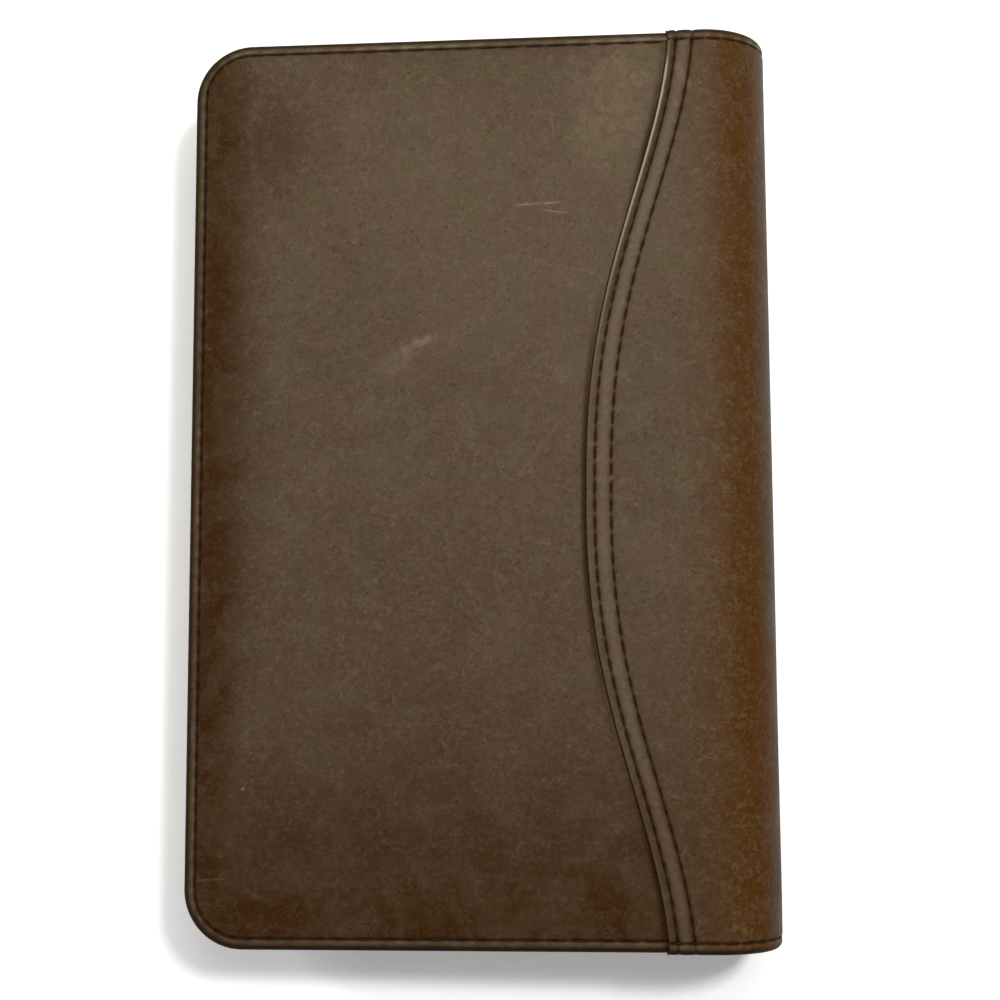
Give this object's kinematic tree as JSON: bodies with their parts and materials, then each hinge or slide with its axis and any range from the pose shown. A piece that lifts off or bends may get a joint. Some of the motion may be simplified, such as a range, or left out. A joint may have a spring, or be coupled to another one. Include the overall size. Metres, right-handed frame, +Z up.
{
  "type": "personal organizer",
  "caption": "Leather ring-binder personal organizer that opens flat, with card pockets, notepad, pen loop, snap rings and punched sheets on them.",
  "frame": {"origin": "middle of the closed case's footprint, on the surface it lies on", "axes": "+X from the fore edge to the spine, +Y from tail to head, +Z up, out of the back cover"},
  "size_m": [0.1268, 0.197, 0.036],
  "materials": {
    "case_leather": "distressed brown leather, satin, waxed",
    "spine_leather": "distressed brown leather, satin, warmer over the spine",
    "lining": "dark brown smooth lining leather, matte",
    "board": "grey board",
    "nickel": "polished nickel plate",
    "paper": "cream writing paper, ruled",
    "card": "buff index card",
    "clear_film": "clear flexible film"
  },
  "bodies": {
    "front_cover": {"front_leather": "case_leather", "front_board": "board", "front_lining": "lining", "slip_pocket": "lining", "card_pocket_1": "case_leather", "card_pocket_2": "case_leather", "card_pocket_3": "case_leather", "window_pane": "clear_film"},
    "spine": {"spine_leather": "spine_leather", "spine_board": "board", "spine_lining": "lining", "ring_housing": "nickel", "head_rivet": "nickel", "tail_rivet": "nickel"},
    "back_cover": {"back_panel_leather": "case_leather", "back_spine_leather": "spine_leather", "back_board": "board", "back_lining": "lining", "notepad_panel": "lining", "notepad_card": "card", "notepad_sheets": "paper", "notepad_binding": "lining", "pen_loop": "spine_leather"},
    "upper_ring_half": {"upper_blade": "nickel", "upper_half_ring_1": "nickel", "upper_half_ring_2": "nickel", "upper_half_ring_3": "nickel", "upper_half_ring_4": "nickel", "upper_half_ring_5": "nickel", "upper_half_ring_6": "nickel"},
    "lower_ring_half": {"lower_blade": "nickel", "lower_half_ring_1": "nickel", "lower_half_ring_2": "nickel", "lower_half_ring_3": "nickel", "lower_half_ring_4": "nickel", "lower_half_ring_5": "nickel", "lower_half_ring_6": "nickel"},
    "head_release": {"head_lever": "nickel"},
    "tail_release": {"tail_lever": "nickel"},
    "lower_sheets": {"sheets_1": "paper", "divider_1": "card", "sheets_2": "paper", "divider_2": "card", "sheets_3": "paper"},
    "upper_sheets": {"divider_3": "card", "sheets_4": "paper", "divider_4": "card", "sheets_5": "paper", "divider_5": "card", "sheets_6": "paper"}
  },
  "joints": [
    {"name": "spine_turn", "type": "hinge", "parent": "front_cover", "child": "spine", "pos_m": [0.06029, 0, 0.00311], "axis": [0, 1, 0], "range_deg": [0, 90]},
    {"name": "back_cover_open", "type": "hinge", "parent": "spine", "child": "back_cover", "pos_m": [0.05998, 0, 0.03341], "axis": [0, 1, 0], "range_deg": [0, 94.1]},
    {"name": "ring_open", "type": "hinge", "parent": "spine", "child": "upper_ring_half", "pos_m": [0.05846, 0, 0.02495], "axis": [0, 1, 0], "range_deg": [0, 9]},
    {"name": "lower_ring_open", "type": "hinge", "parent": "spine", "child": "lower_ring_half", "pos_m": [0.05846, 0, 0.01105], "axis": [0, 1, 0], "range_deg": [-9, 0]},
    {"name": "head_lever_tilt", "type": "hinge", "parent": "spine", "child": "head_release", "pos_m": [0.0585, 0.0868, 0.018], "axis": [0, 0, -1], "range_deg": [0, 15]},
    {"name": "tail_lever_tilt", "type": "hinge", "parent": "spine", "child": "tail_release", "pos_m": [0.0585, -0.0868, 0.018], "axis": [0, 0, 1], "range_deg": [0, 15]},
    {"name": "lower_sheets_turn", "type": "hinge", "parent": "spine", "child": "lower_sheets", "pos_m": [0.04696, 0, 0.018], "axis": [0, 1, 0], "range_deg": [-89.08, 0]},
    {"name": "upper_sheets_turn", "type": "hinge", "parent": "spine", "child": "upper_sheets", "pos_m": [0.04696, 0, 0.018], "axis": [0, 1, 0], "range_deg": [0, 93.32]}
  ],
  "couplings": [
    {"joint": "lower_ring_open", "follows": "ring_open", "ratio": -1},
    {"joint": "head_lever_tilt", "follows": "ring_open", "ratio": 1.6667},
    {"joint": "tail_lever_tilt", "follows": "ring_open", "ratio": 1.6667},
    {"joint": "lower_sheets_turn", "follows": "spine_turn", "ratio": -0.98978},
    {"joint": "upper_sheets_turn", "follows": "back_cover_open", "ratio": 0.99171}
  ]
}
